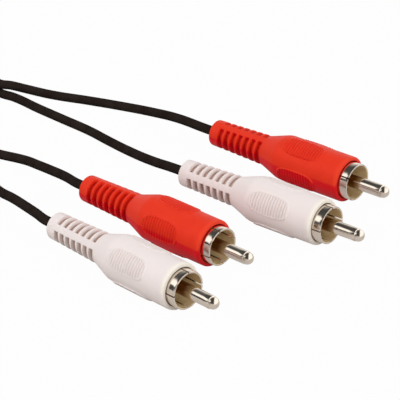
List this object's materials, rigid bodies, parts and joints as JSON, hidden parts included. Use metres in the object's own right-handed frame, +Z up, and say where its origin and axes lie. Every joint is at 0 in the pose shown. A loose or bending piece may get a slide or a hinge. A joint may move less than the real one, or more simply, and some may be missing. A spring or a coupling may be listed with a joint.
{
  "type": "stereo audio cable",
  "caption": "Stereo audio cable: moulded plugs with slotted strain reliefs, oval grips, slit ground shells and centre pins, on thin leads that join into a coiled twin lead.",
  "frame": {"origin": "on the surface that the plugs lie on, at the centre of the box round the plugs", "axes": "+Z up; the plugs' pins point towards +X and -Y, and the coil lies towards -X and +Y"},
  "size_m": [0.1714, 0.1607, 0.0132],
  "materials": {
    "red_vinyl": "satin",
    "white_vinyl": "satin",
    "black_vinyl": "satin",
    "nickel": "polished",
    "insulator": "satin",
    "inner_mould": "matte",
    "red_core": "satin",
    "white_core": "satin",
    "copper": "bare",
    "band": "satin"
  },
  "bodies": {
    "root": {"red_plug_a_overmould": "red_vinyl", "red_plug_a_shell": "nickel", "red_plug_a_insulator": "insulator", "red_plug_a_pin": "nickel", "red_plug_a_inner_mould": "inner_mould", "red_plug_a_jacket_end": "black_vinyl", "red_plug_a_core": "red_core", "red_plug_a_screen_wires": "copper", "white_plug_a_overmould": "white_vinyl", "white_plug_a_shell": "nickel", "white_plug_a_insulator": "insulator", "white_plug_a_pin": "nickel", "white_plug_a_inner_mould": "inner_mould", "white_plug_a_jacket_end": "black_vinyl", "white_plug_a_core": "white_core", "white_plug_a_screen_wires": "copper", "red_plug_b_overmould": "red_vinyl", "red_plug_b_shell": "nickel", "red_plug_b_insulator": "insulator", "red_plug_b_pin": "nickel", "red_plug_b_inner_mould": "inner_mould", "red_plug_b_jacket_end": "black_vinyl", "red_plug_b_core": "red_core", "red_plug_b_screen_wires": "copper", "white_plug_b_overmould": "white_vinyl", "white_plug_b_shell": "nickel", "white_plug_b_insulator": "insulator", "white_plug_b_pin": "nickel", "white_plug_b_inner_mould": "inner_mould", "white_plug_b_jacket_end": "black_vinyl", "white_plug_b_core": "white_core", "white_plug_b_screen_wires": "copper", "red_lead_a": "black_vinyl", "white_lead_a": "black_vinyl", "red_lead_b": "black_vinyl", "white_lead_b": "black_vinyl", "coil": "black_vinyl", "coil_band": "band"}
  },
  "joints": []
}
